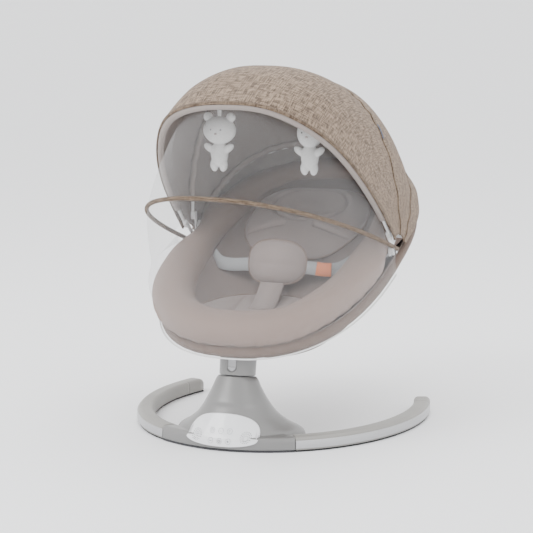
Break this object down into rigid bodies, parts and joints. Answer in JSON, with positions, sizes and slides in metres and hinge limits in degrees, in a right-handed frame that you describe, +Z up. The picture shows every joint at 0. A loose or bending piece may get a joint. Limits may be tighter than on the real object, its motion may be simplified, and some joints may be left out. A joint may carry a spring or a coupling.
{
  "type": "electric baby swing",
  "caption": "Electric baby swing: horseshoe base with motor pedestal and touch-button panel, swinging neck, padded cradle, folding canopy, insect net and hanging toys.",
  "frame": {"origin": "on the floor under the centre of the bounding box", "axes": "+Z up, -Y towards the pedestal's panel and the child's feet, +X to the right seen from the front"},
  "size_m": [0.5398, 0.7563, 0.6675],
  "materials": {
    "silver_plastic": "satin metallic grey moulding",
    "arm_plastic": "matt warm grey moulding",
    "brushed_silver": "brushed bright strip",
    "dark_plastic": "matt dark moulding",
    "rubber": "matt",
    "white_gloss": "high gloss",
    "white_plastic": "satin",
    "steel": "drawn",
    "zinc": "die cast",
    "board_green": "solder mask",
    "bronze": "turned",
    "nylon_gear": "natural moulding",
    "melange_fabric": "two-tone plain weave",
    "cradle_fabric": "fine plain weave",
    "pad_fabric": "soft quilted weave",
    "belly_fabric": "plain weave",
    "strap_webbing": "woven webbing",
    "net_mesh": "fine open mesh",
    "plush": "short pile"
  },
  "bodies": {
    "base": {"pedestal_shell": "silver_plastic", "control_panel": "white_gloss", "right_arm": "arm_plastic", "right_arm_trim": "brushed_silver", "right_arm_cap": "arm_plastic", "right_grip_strip": "rubber", "left_arm": "arm_plastic", "left_arm_trim": "brushed_silver", "left_arm_cap": "arm_plastic", "left_grip_strip": "rubber", "bottom_cover": "dark_plastic", "gearbox_frame": "zinc", "shaft_bush": "bronze", "drive_motor": "steel", "circuit_board": "board_green", "speaker": "dark_plastic", "power_inlet": "dark_plastic"},
    "neck": {"swing_shaft": "steel", "sector_gear": "nylon_gear", "neck_sleeve": "silver_plastic", "neck_head": "zinc", "release_spring": "steel"},
    "pinion": {"drive_pinion": "bronze"},
    "release": {"release_button": "silver_plastic"},
    "cradle": {"seat_ring_tube": "steel", "seat_bracket": "zinc", "recline_pin": "steel", "front_rim_roll": "cradle_fabric", "rear_rim_roll": "cradle_fabric", "belly_cover": "belly_fabric", "seat_pad": "pad_fabric", "seat_sling": "cradle_fabric", "head_cushion": "pad_fabric", "crotch_pad": "pad_fabric", "crotch_strap": "pad_fabric", "buckle": "white_plastic", "right_waist_strap": "strap_webbing", "left_waist_strap": "strap_webbing", "right_hinge_plate": "white_plastic", "left_hinge_plate": "white_plastic", "right_hinge_pin": "steel", "left_hinge_pin": "steel", "rear_bow": "white_plastic", "hood_rear_cloth": "melange_fabric"},
    "mid_canopy": {"mid_bow": "white_plastic", "hood_mid_cloth": "melange_fabric"},
    "front_canopy": {"front_bow": "white_plastic", "hood_front_cloth": "melange_fabric"},
    "net": {"net_hoop": "melange_fabric", "upper_net": "net_mesh", "lower_net": "net_mesh", "net_elastic_hem": "dark_plastic"},
    "right_hanging_toy": {"right_toy": "plush"},
    "left_hanging_toy": {"left_toy": "plush"},
    "timer_key": {"timer_button": "white_plastic"},
    "swing_key": {"swing_button": "white_plastic"},
    "music_key": {"music_button": "white_plastic"},
    "minus_key": {"minus_button": "white_plastic"},
    "power_key": {"power_button": "white_plastic"},
    "plus_key": {"plus_button": "white_plastic"}
  },
  "joints": [
    {"name": "swing", "type": "hinge", "parent": "base", "child": "neck", "pos_m": [0, -0.2199, 0.1205], "axis": [0, 0.1564, 0.9877], "range_deg": [-12, 12]},
    {"name": "pinion_spin", "type": "hinge", "parent": "base", "child": "pinion", "pos_m": [0.045, -0.23288, 0.03852], "axis": [0, 0.1564, 0.9877], "range_deg": [-50, 50]},
    {"name": "recline", "type": "hinge", "parent": "neck", "child": "cradle", "pos_m": [0, -0.21153, 0.17334], "axis": [-1, 0, 0], "range_deg": [0, 12]},
    {"name": "canopy_fold", "type": "hinge", "parent": "cradle", "child": "mid_canopy", "pos_m": [0, 0.0631, 0.317], "axis": [-1, 0, 0], "range_deg": [0, 35], "deforming": ["hood_mid_cloth", "hood_rear_cloth"]},
    {"name": "front_fold", "type": "hinge", "parent": "mid_canopy", "child": "front_canopy", "pos_m": [0, 0.0631, 0.317], "axis": [-1, 0, 0], "range_deg": [0, 27], "deforming": ["hood_front_cloth"]},
    {"name": "net_lift", "type": "hinge", "parent": "front_canopy", "child": "net", "pos_m": [0, 0.0631, 0.317], "axis": [-1, 0, 0], "range_deg": [0, 20], "deforming": ["upper_net", "lower_net"]},
    {"name": "right_toy_swing", "type": "hinge", "parent": "mid_canopy", "child": "right_hanging_toy", "pos_m": [0.088, -0.0869, 0.636], "axis": [1, 0, 0], "range_deg": [-25, 25]},
    {"name": "left_toy_swing", "type": "hinge", "parent": "mid_canopy", "child": "left_hanging_toy", "pos_m": [-0.088, -0.0869, 0.636], "axis": [1, 0, 0], "range_deg": [-25, 25]},
    {"name": "release_press", "type": "slide", "parent": "neck", "child": "release", "axis": [0, 0.9877, -0.1564], "range_m": [0, 0.002], "stiffness_N_per_m": 800},
    {"name": "timer_press", "type": "slide", "parent": "base", "child": "timer_key", "axis": [0, 0.9026, -0.4305], "range_m": [0, 0.0008], "stiffness_N_per_m": 300},
    {"name": "swing_press", "type": "slide", "parent": "base", "child": "swing_key", "axis": [0, 0.9026, -0.4305], "range_m": [0, 0.0008], "stiffness_N_per_m": 300},
    {"name": "music_press", "type": "slide", "parent": "base", "child": "music_key", "axis": [0, 0.9026, -0.4305], "range_m": [0, 0.0008], "stiffness_N_per_m": 300},
    {"name": "minus_press", "type": "slide", "parent": "base", "child": "minus_key", "axis": [0, 0.9026, -0.4305], "range_m": [0, 0.0008], "stiffness_N_per_m": 300},
    {"name": "power_press", "type": "slide", "parent": "base", "child": "power_key", "axis": [0, 0.9026, -0.4305], "range_m": [0, 0.0008], "stiffness_N_per_m": 300},
    {"name": "plus_press", "type": "slide", "parent": "base", "child": "plus_key", "axis": [0, 0.9026, -0.4305], "range_m": [0, 0.0008], "stiffness_N_per_m": 300}
  ],
  "couplings": [
    {"joint": "pinion_spin", "follows": "swing", "ratio": -4},
    {"joint": "front_fold", "follows": "canopy_fold", "ratio": 0.75}
  ]
}
